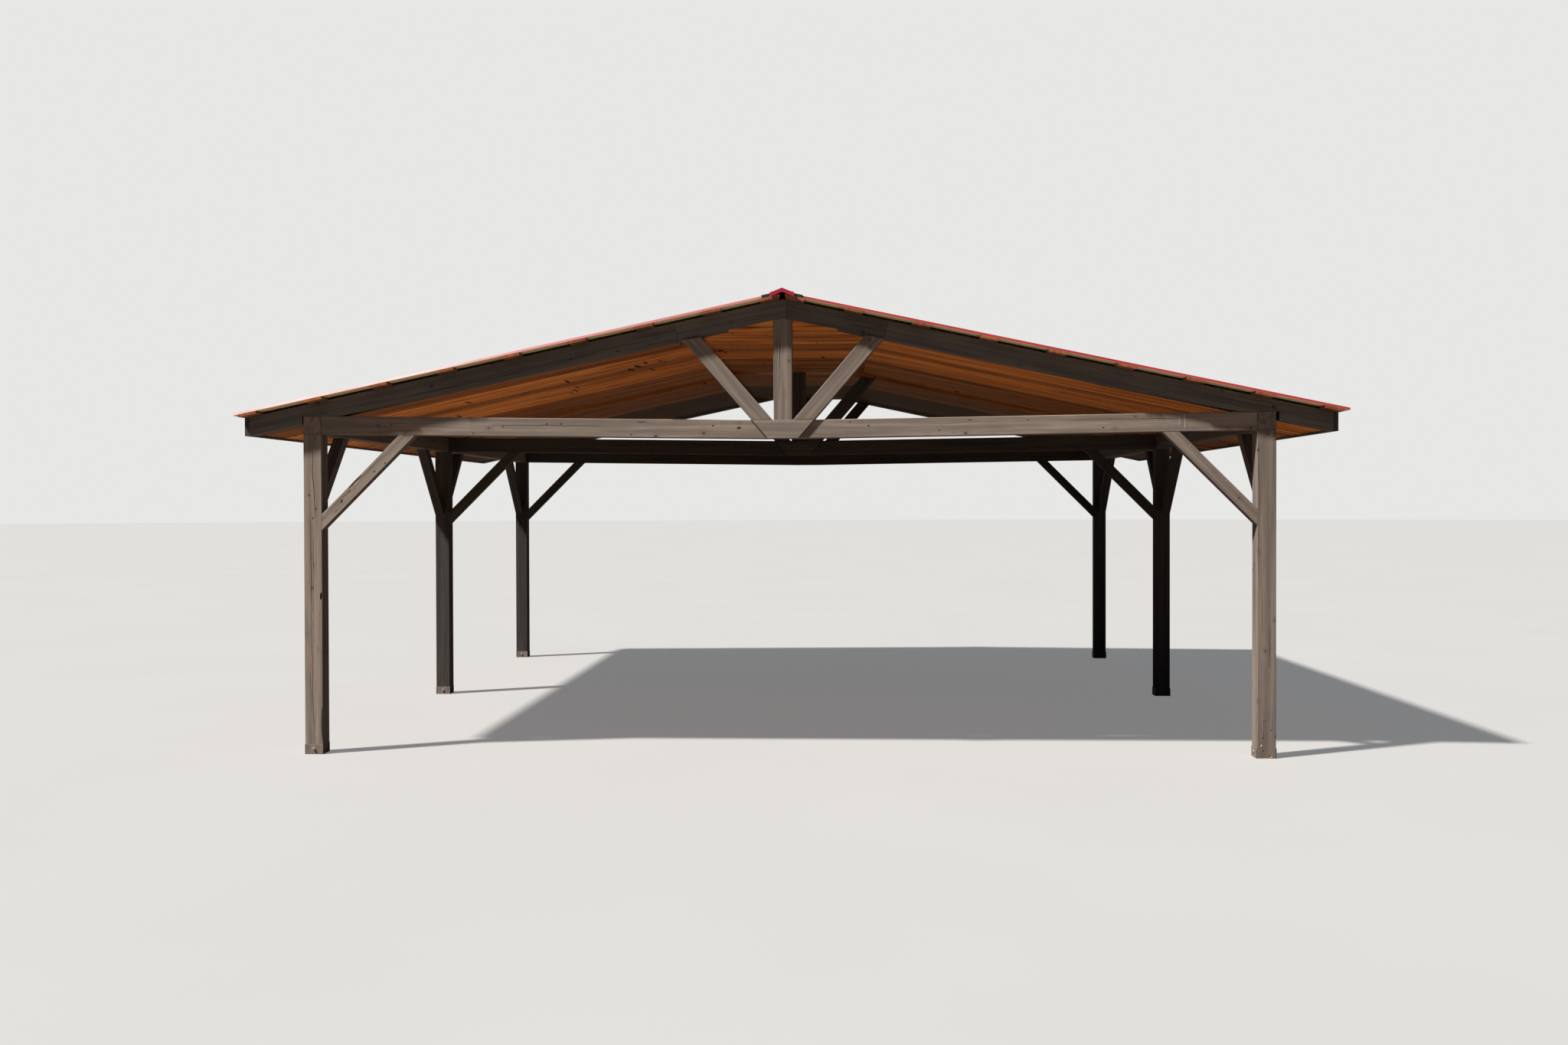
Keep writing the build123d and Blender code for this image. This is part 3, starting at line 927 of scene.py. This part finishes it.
# The knots there: the pixels of both ends, and the width
FRONT_KNOTS = {
    "front_left_post": (
        ((403.7, 645.4), (403.7, 648.6), 0.014),
        ((412.6, 663), (412.6, 666), 0.011),
        ((408.6, 675.6), (408.6, 678.4), 0.010),
    ),
    "front_knee_braces": (
        ((444.6, 656.6), (447.6, 652.8), 0.016),
        ((487.6, 617), (490, 614.6), 0.011),
        ((502, 606.4), (504, 603.6), 0.010),
    ),
    "front_upper_left_rafter": (
        ((888.2, 449.5), (891.8, 448.7), 0.016),
    ),
    "front_lower_rafters": (
        ((743, 469.4), (747, 468.6), 0.012),
        ((805, 459.4), (809, 458.6), 0.012),
    ),
    "front_tie_beams": (
        ((510, 554), (512.4, 554), 0.011),
        ((617, 566), (619.4, 566), 0.010),
        ((655.6, 557.5), (658.4, 557.5), 0.012),
        ((712.8, 553.6), (715.4, 553.6), 0.011),
        ((731.6, 553.6), (734.6, 553.9), 0.012),
        ((823, 567.7), (825.4, 567.7), 0.010),
        ((930, 556), (932.6, 556), 0.013),
        ((962.4, 559), (967.6, 559), 0.020),
        ((1109, 551), (1111.4, 551), 0.011),
        ((1133, 556), (1136, 556), 0.013),
        ((1225.6, 562), (1228.4, 562), 0.010),
        ((1264, 548.6), (1269, 548.4), 0.006),
        ((1341.8, 548.6), (1344.2, 548.5), 0.009),
        ((1439.6, 558.5), (1442.4, 558.5), 0.011),
    ),
}
# How pale the sun has made some of the front gable's timbers, from 0 to 1
TIMBER_TONES = {"front_left_post": 0.95, "front_right_post": 0.1, "front_tie_beams": 0.75}
knot_places = {"ceiling": [], "timber": []}


def mark_front(piece, node):
    """Cuts a timber's marks on the front gable, and notes where its knots lie."""
    low, high = corners(piece)
    knots = [("knot", ends, width, 0) for *ends, width in FRONT_KNOTS.get(node, ())]
    for kind, pixels, width, depth in (*knots, *FRONT_MARKS.get(node, ())):
        path = [photo_point(pixel, (0, low.y, 0), FRONT) for pixel in pixels]
        centre = (path[0] + path[-1]) / 2
        if not low.x - MARK_REACH < centre.x < high.x + MARK_REACH:
            continue
        if kind == "hole":
            drill(piece, centre, FRONT, width / 2, depth)
        elif kind == "check":
            cut_check(piece, path, FRONT, width, depth)
        else:
            line = (path[-1] - path[0]).normalized()
            half_length = (path[-1] - path[0]).length / 2
            if kind == "knot":
                place = knot_place(centre, line, FRONT, half_length, width / 2)
                knot_places["timber"].append(place)
            else:
                cut_scoop(piece, centre, line, FRONT, half_length, width / 2, depth, kind)


def knot_place(centre, line, outward, half_length, half_width):
    """Where a knot of unit size goes: stretched along line, nearly flush with its face."""
    line = (line - outward * line.dot(outward)).normalized()
    turn = Matrix((line, outward.cross(line), outward)).transposed().to_4x4()
    stretch = Matrix.Diagonal((half_length, half_width, KNOT_HEIGHT, 1))
    return Matrix.Translation(centre) @ turn @ stretch


def model_knot():
    """The face of a knot, of unit size and a little irregular, lying on the origin."""
    bpy.ops.mesh.primitive_uv_sphere_add(segments=20, ring_count=6, radius=1)
    knot = bpy.context.object
    for vertex in knot.data.vertices:
        angle = math.atan2(vertex.co.y, vertex.co.x)
        reach = 1 + 0.13 * math.sin(2 * angle + 0.7) + 0.08 * math.sin(5 * angle)
        vertex.co.x *= reach
        vertex.co.y *= reach
    return knot


def make_knots():
    """The knots that the photograph shows, on the timbers and on the ceiling boards."""
    for kind, slot in (("timber", "stained_timber"), ("ceiling", "ceiling_boards")):
        unit = model_knot()
        unit.data.materials.append(finishes[kind + "_knot"])
        finish_piece(strew(unit, knot_places[kind], kind + "_knots"), slot)
        drop(unit)


def make_frame_timbers():
    for row in ROWS:
        # The inner coats and the rafters' shaded coat are painted shade: darker copies of the stain
        # for faces under and inside the roof; the middle row's rafters are brown
        inner = "shaded" if row == "front" else "deep_painted_shade"
        rafter_coat = "brown" if row == "middle" else "shaded"
        dress_timbers(f"{row}_left_post", checks=4, inner_coat=inner)
        dress_timbers(f"{row}_right_post", checks=4, inner_coat=None if row == "front" else inner)
        dress_timbers(f"{row}_tie_beams", checks=3, inner_coat=inner)
        dress_timbers(f"{row}_tie_block", checks=1, inner_coat=inner)
        dress_timbers(f"{row}_king_post", checks=2, inner_coat=inner)
        dress_timbers(f"{row}_struts", checks=2, inner_coat=inner)
        dress_timbers(f"{row}_lower_rafters", checks=3, coat=rafter_coat)
        dress_timbers(f"{row}_upper_left_rafter", checks=1, coat=rafter_coat)
        dress_timbers(f"{row}_upper_right_rafter", checks=1, coat=rafter_coat)
        dress_timbers(f"{row}_knee_braces", checks=2, soften=BRACE_EASE, inner_coat=inner)
    for side in SIDES:
        # The eave beams and fascias take the shaded coat, painted shade, and the eave beams' ends
        # the pale stain
        dress_timbers(f"{side}_eave_beam", checks=6, coat="shaded", end_coat="stained")
        dress_timbers(f"{side}_fascia", checks=0, soften=FASCIA_EASE, coat="shaded")


def make_purlins():
    """The purlins, eased, with their sawn ends showing at the rakes. Returns where each lies."""
    lines = {}
    for side in SIDES:
        node = f"{side}_purlins"
        boards = stock(node)
        lines[side] = [middle(board) for board in boards]
        for board in boards:
            ease(board, ALONG, PURLIN_EASE)
            lay_grain(board, ALONG, sawn_heart())
            board.data.materials.append(finishes["purlin"])
            board.data.materials.append(finishes["purlin_end"])
            mark_ends(board, ALONG)
        finish_piece(join(boards, node + "_wood"), "purlin_boards", node)
    return lines


def cut_board(slab, width):
    """The first board of a bay, sawn from the slab that the bay's boards fill."""
    low, high = corners(slab)
    board = new_copy(slab, slab.name + "_board")
    edit(board)
    for saw_line, far in ((width - BOARD_JOINT / 2, True), (BOARD_JOINT / 2, False)):
        bpy.ops.mesh.select_all(action="SELECT")
        bpy.ops.mesh.bisect(
            plane_co=(0, low.y + saw_line, 0),
            plane_no=ALONG,
            use_fill=True,
            clear_outer=far,
            clear_inner=not far,
        )
    leave()
    ease(board, grain_across(board), BOARD_EASE)
    return board


def grain_across(board):
    """The direction of a board's grain: its longest edge that doesn't run along the carport."""
    lines = [edge_line(board.data, edge) for edge in board.data.edges]
    across = [line for line in lines if abs(line.y) < 0.5 * line.length]
    return max(across, key=lambda line: line.length).normalized()


# The paler boards of the front bay, counted from the gable inwards
PALE_BOARDS = {
    "left_ceiling_boards": (2, 3, 5, 6, 7),
    "right_ceiling_boards": (0, 1, 2, 4, 5, 6),
    "ridge_ceiling_boards": (0, 1, 2, 5, 6),
}


def board_tone(node, place, bay_middle):
    # The rear bay's boards get low tones, painted shade
    if bay_middle > 0:
        return chance.uniform(*REAR_BAY_SHADE_TONES)
    if place in PALE_BOARDS[node]:
        return chance.uniform(*PALE_BOARD_TONES)
    return chance.uniform(*FRONT_BAY_TONES)


def make_ceiling():
    """Single boards in every bay, each with its own grain and tone; the rear boards darker, as
    painted shade.
    """
    for node in ("left_ceiling_boards", "right_ceiling_boards", "ridge_ceiling_boards"):
        boards = []
        for slab in stock(node):
            low, high = corners(slab)
            count = BOARDS_PER_BAY if high.y - low.y > 1 else 1
            width = (high.y - low.y) / count
            first = cut_board(slab, width)
            for place in range(count):
                board = new_copy(first, f"{slab.name}_{place}")
                shift = (0, place * width, chance.uniform(0, BOARD_SLACK))
                board.data.transform(Matrix.Translation(shift))
                lay_grain(board, grain_across(board), sawn_heart())
                set_tone(board, board_tone(node, place, middle(slab).y))
                # The rear boards take the darker finish, painted shade
                shade = "ceiling_painted_shade" if middle(board).y > SHADED_BOARDS_FROM else "ceiling"
                board.data.materials.append(finishes[shade])
                boards.append(board)
            drop(first)
            drop(slab)
        finish_piece(join(boards, node + "_wood"), "ceiling_boards", node)


def ceiling_underside(across):
    """The height and the normal of the ceiling's underside, at a distance from the ridge line."""
    slope = math.tan(math.radians(ROOF_PITCH))
    crest = CEILING_CREST if abs(across) < EAVE_LINE else SOFFIT_CREST
    height = crest - abs(across) * slope
    if height > STRIP_UNDERSIDE:
        return STRIP_UNDERSIDE, -UP
    return height, -Vector((math.copysign(slope, across), 0, 1)).normalized()


# Knots in the ceiling: across the carport, along it, and half their size each way
CEILING_KNOTS = (
    (-0.396, -3.419, 0.014, 0.050),
    (-0.136, -3.326, 0.012, 0.060),
    (0.369, -3.435, 0.012, 0.030),
    (-0.469, -2.786, 0.010, 0.030),
    (0.238, -2.739, 0.012, 0.040),
    (-0.590, -2.240, 0.024, 0.070),
    (-0.560, -2.060, 0.018, 0.040),
    (-0.500, -2.190, 0.009, 0.022),
    (-0.457, -2.196, 0.009, 0.024),
    (-0.364, -2.146, 0.010, 0.022),
    (0.478, -2.240, 0.010, 0.030),
    (0.269, -1.563, 0.020, 0.060),
    (0.178, -1.003, 0.018, 0.050),
    (0.126, -0.782, 0.014, 0.040),
    (-0.287, -1.036, 0.012, 0.040),
    (-0.434, 0.515, 0.012, 0.040),
    (-1.859, -2.458, 0.014, 0.110),
    (-1.879, -1.898, 0.010, 0.100),
    (-1.930, -1.690, 0.010, 0.110),
    (-1.997, -1.478, 0.011, 0.090),
    (-1.344, -2.314, 0.024, 0.100),
    (-1.270, -2.420, 0.022, 0.110),
    (-1.187, -2.558, 0.014, 0.080),
    (-1.080, -2.448, 0.012, 0.060),
    (-1.056, -2.329, 0.010, 0.040),
    (-1.204, -1.980, 0.011, 0.120),
    (-1.494, -0.957, 0.030, 0.070),
    (-1.819, -0.654, 0.026, 0.060),
    (-1.932, 0.351, 0.016, 0.060),
    (-2.682, -2.508, 0.014, 0.100),
    (-2.981, -1.679, 0.014, 0.080),
    (1.351, -2.139, 0.014, 0.060),
    (1.219, -0.306, 0.014, 0.060),
    (1.321, 0.187, 0.016, 0.050),
    (1.411, -0.430, 0.014, 0.080),
    (1.460, -1.082, 0.012, 0.060),
    (1.557, -0.247, 0.020, 0.080),
    (2.004, -0.983, 0.018, 0.060),
    (2.087, -2.249, 0.012, 0.050),
    (2.467, -0.497, 0.014, 0.060),
    (-3.810, -3.322, 0.016, 0.040),
    (-3.998, -2.912, 0.014, 0.040),
)


def note_ceiling_knots():
    for across, along, half_width, half_length in CEILING_KNOTS:
        height, outward = ceiling_underside(across)
        centre = Vector((across, along, height + BOARD_SLACK / 2))
        lean = Vector((chance.uniform(-0.06, 0.06), 1, 0))
        place = knot_place(centre, lean, outward, half_length, half_width)
        knot_places["ceiling"].append(place)


# Roof metal and fasteners


def dress_part(node, *materials):
    """A finish on a part whose shape stays as it is."""
    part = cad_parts[node]
    part.data.materials.clear()
    for material in materials:
        part.data.materials.append(material)
    return part


def sheet_coat(face):
    """The coat on a face of a roof sheet: paint, back coat, cut edge, or an end rib's flank."""
    at_rake = abs(face.center.y) > cad_high.y - RIB_BASE / 3
    outer = at_rake and face.normal.y * face.center.y > 0
    if outer and abs(face.normal.z) < 0.1:
        return "cut_metal"
    if face.normal.z < -0.05:
        return "sheet_tan"
    return "rake_edge" if outer and abs(face.normal.y) > 0.4 else "roof_red"


def finish_roof():
    coats = ("roof_red", "sheet_tan", "cut_metal", "rake_edge")
    for side in SIDES:
        sheet = dress_part(f"{side}_roof_sheet", *(finishes[coat] for coat in coats))
        for face in sheet.data.polygons:
            face.material_index = coats.index(sheet_coat(face))
    dress_part("ridge_cap", finishes["ridge_red"])
    dress_part("ridge_closures", finishes["foam"])
    dress_part("post_shoes", finishes["shoe"])


def rib_places():
    """Where the metal's ribs stand along the carport."""
    low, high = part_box("left_roof_sheet")
    length = high.y - low.y
    count = math.floor((length - RIB_BASE) / RIB_SPACING)
    margin = (length - RIB_BASE - count * RIB_SPACING) / 2
    first = low.y + RIB_BASE / 2
    between = [first + margin + step * RIB_SPACING for step in range(1, count)]
    return [first, *between, high.y - RIB_BASE / 2]


def turn_disc(sides, radius, height, base, coat):
    """A disc with that many sides, standing at the height base over the origin."""
    bpy.ops.mesh.primitive_cylinder_add(
        vertices=sides, radius=radius, depth=height, location=(0, 0, base + height / 2)
    )
    disc = bpy.context.object
    settle(disc)
    disc.data.materials.append(finishes[coat])
    return disc


def raise_top(disc, rim, rise):
    """Lifts the top of a disc, all but a rim."""
    clear_choice(disc, "FACE")
    for face in disc.data.polygons:
        face.select = face.normal.z > 0.9
    bpy.ops.object.mode_set(mode="EDIT")
    bpy.ops.mesh.inset(thickness=rim)
    bpy.ops.transform.translate(value=(0, 0, rise))
    leave()


def round_edges(disc, width):
    edit(disc)
    bpy.ops.mesh.bevel(offset=width, segments=2, affect="EDGES")
    leave()


def model_roof_screw():
    """A hex-head roofing screw on a metal-backed washer, standing up on the origin."""
    washer = turn_disc(14, WASHER_RADIUS, WASHER_THICKNESS, 0, "washer")
    cup = turn_disc(14, CUP_RADIUS, CUP_THICKNESS, WASHER_THICKNESS, "roof_red")
    raise_top(cup, rim=0.0022, rise=0.0008)
    seat = WASHER_THICKNESS + CUP_THICKNESS
    head = turn_disc(6, SCREW_HEAD_RADIUS, SCREW_HEAD_HEIGHT, seat, "roof_red")
    raise_top(head, rim=0.0009, rise=0.0006)
    return join([washer, cup, head], "roof_screw")


def strew(unit, places, name):
    """One mesh that holds a copy of the unit at every place."""
    gathered = bmesh.new()
    for place in places:
        copy = unit.data.copy()
        copy.transform(place)
        gathered.from_mesh(copy)
        bpy.data.meshes.remove(copy)
    mesh = bpy.data.meshes.new(name)
    gathered.to_mesh(mesh)
    gathered.free()
    for material in unit.data.materials:
        mesh.materials.append(material)
    return bring_in(bpy.data.objects.new(name, mesh))


def standing_at(point, outward, turn=0.0):
    """A place on a surface: the unit's own Z along outward, turned about it."""
    tilt = Vector(outward).to_track_quat("Z", "Y").to_matrix().to_4x4()
    return Matrix.Translation(point) @ tilt @ Matrix.Rotation(turn, 4, "Z")


def make_roof_screws(purlin_lines):
    """A screw beside each rib on every purlin, and along both edges of the ridge cap."""
    unit = model_roof_screw()
    pitch = math.radians(ROOF_PITCH)
    places = []
    for side, sign in SIDES.items():
        outward = Vector((sign * math.sin(pitch), 0, math.cos(pitch)))
        lift = outward * (PURLIN_THICKNESS / 2 + SHEET_GAUGE)
        for centre in purlin_lines[side]:
            for rib in rib_places()[:-1]:
                along = rib + SCREW_BESIDE_RIB + chance.uniform(-SCREW_SCATTER, SCREW_SCATTER)
                point = Vector((centre.x, along, centre.z)) + lift
                if abs(centre.x) > CAP_COVER:
                    places.append(standing_at(point, outward, chance.uniform(0, 1)))
        cap_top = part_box("ridge_cap")[1].z
        cap_slope = math.tan(math.radians(CAP_PITCH))
        cap_outward = Vector((sign * cap_slope, 0, 1)).normalized()
        for rib in rib_places():
            point = Vector((sign * CAP_SCREW_RUN, rib, cap_top - CAP_SCREW_RUN * cap_slope))
            places.append(standing_at(point, cap_outward, chance.uniform(0, 1)))
    screws = strew(unit, places, "roof_screws")
    drop(unit)
    finish_piece(screws, "roof_metal")


def model_shoe_bolt():
    """A hex-head bolt on a round washer, both with rounded edges."""
    washer = turn_disc(24, BOLT_WASHER_RADIUS, BOLT_WASHER_THICKNESS, 0, "zinc")
    round_edges(washer, 0.0006)
    head = turn_disc(6, BOLT_HEAD_RADIUS, BOLT_HEAD_HEIGHT, BOLT_SEAT, "zinc")
    round_edges(head, 0.0012)
    return join([washer, head], "shoe_bolt")


def make_shoe_bolts():
    """A bolt through each flange of the post shoes."""
    unit = model_shoe_bolt()
    places = []
    for row in ROWS:
        for side, sign in SIDES.items():
            low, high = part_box(f"{row}_{side}_post")
            centre = (low + high) / 2
            reach = (high.x - low.x) / 2 + SHOE_FLANGE
            for way in (-1, 1):
                outward = Vector((0, way, 0)) if sign < 0 else Vector((way, 0, 0))
                point = Vector((centre.x, centre.y, BOLT_HEIGHT)) + outward * reach
                places.append(standing_at(point, outward, chance.uniform(0, 1)))
    bolts = strew(unit, places, "shoe_bolts")
    drop(unit)
    finish_piece(bolts, "shoe_steel")


# Stage and light

STAGE_RADIUS = 180.0
KEY_HEADING = 28.0
KEY_HEIGHT = 54.0
KEY_POWER = 8.4
KEY_SPREAD = 3.0
KEY_COLOUR = (1.0, 0.965, 0.91)
SKY_POWER = 0.115
SKY_COLOUR = (0.46, 0.66, 1.0)
FLOOR_PALE = (0.250, 0.248, 0.245)
FLOOR_PALER = (0.257, 0.255, 0.252)
FLOOR_BOUNCE = (0.195, 0.152, 0.118)
FLOOR_GLOW = 0.20
BACKDROP = (0.80, 0.80, 0.79)


def seen_or_lit(tree, seen, lit):
    """One shader for what is seen of the stage, another for the light that it throws back."""
    path = tree.nodes.new("ShaderNodeLightPath")
    join_both = tree.nodes.new("ShaderNodeMixShader")
    tree.links.new(path.outputs["Is Camera Ray"], join_both.inputs[0])
    tree.links.new(lit, join_both.inputs[1])
    tree.links.new(seen, join_both.inputs[2])
    return join_both.outputs[0]


def make_stage():
    """A level pale floor that runs to the horizon."""
    bpy.ops.mesh.primitive_circle_add(vertices=96, radius=STAGE_RADIUS, fill_type="NGON")
    floor = bpy.context.object
    floor.name = "studio_floor"
    pale = Finish("pale_floor", 0.9, 0.2)
    place = pale.place()
    cloud = pale.noise(place, 0.35, 3.0)
    pale.colour(pale.mix(pale.spread(cloud, 0.3, 0.7), FLOOR_PALE, FLOOR_PALER))
    pale.feed(pale.shader.inputs["Emission Color"], (1.0, 0.995, 0.985, 1))
    pale.feed(pale.shader.inputs["Emission Strength"], FLOOR_GLOW)
    dull = pale.tree.nodes.new("ShaderNodeBsdfDiffuse")
    dull.inputs["Color"].default_value = (*FLOOR_BOUNCE, 1)
    ending = pale.tree.nodes["Material Output"].inputs["Surface"]
    pale.feed(ending, seen_or_lit(pale.tree, pale.shader.outputs[0], dull.outputs[0]))
    floor.data.materials.append(pale.material)


def make_light():
    world = bpy.data.worlds.new("studio_air")
    world.use_nodes = True
    tree = world.node_tree
    air = tree.nodes["Background"]
    air.inputs["Color"].default_value = (*SKY_COLOUR, 1)
    air.inputs["Strength"].default_value = SKY_POWER
    backdrop = tree.nodes.new("ShaderNodeBackground")
    backdrop.inputs["Color"].default_value = (*BACKDROP, 1)
    ending = tree.nodes["World Output"].inputs["Surface"]
    tree.links.new(seen_or_lit(tree, backdrop.outputs[0], air.outputs[0]), ending)
    bpy.context.scene.world = world
    key = bpy.data.lights.new("key_light", "SUN")
    key.energy = KEY_POWER
    key.angle = math.radians(KEY_SPREAD)
    key.color = KEY_COLOUR
    heading, height = math.radians(KEY_HEADING), math.radians(KEY_HEIGHT)
    level = -math.cos(height)
    toward = Vector((math.cos(heading) * level, math.sin(heading) * level, math.sin(height)))
    lamp = bring_in(bpy.data.objects.new("key_light", key))
    lamp.rotation_mode = "QUATERNION"
    lamp.rotation_quaternion = toward.to_track_quat("Z", "Y")
    bpy.context.scene.view_settings.view_transform = "Standard"


set_camera()
finishes = make_finishes()
make_frame_timbers()
purlin_lines = make_purlins()
make_ceiling()
note_ceiling_knots()
make_knots()
finish_roof()
make_roof_screws(purlin_lines)
make_shoe_bolts()
make_stage()
make_light()
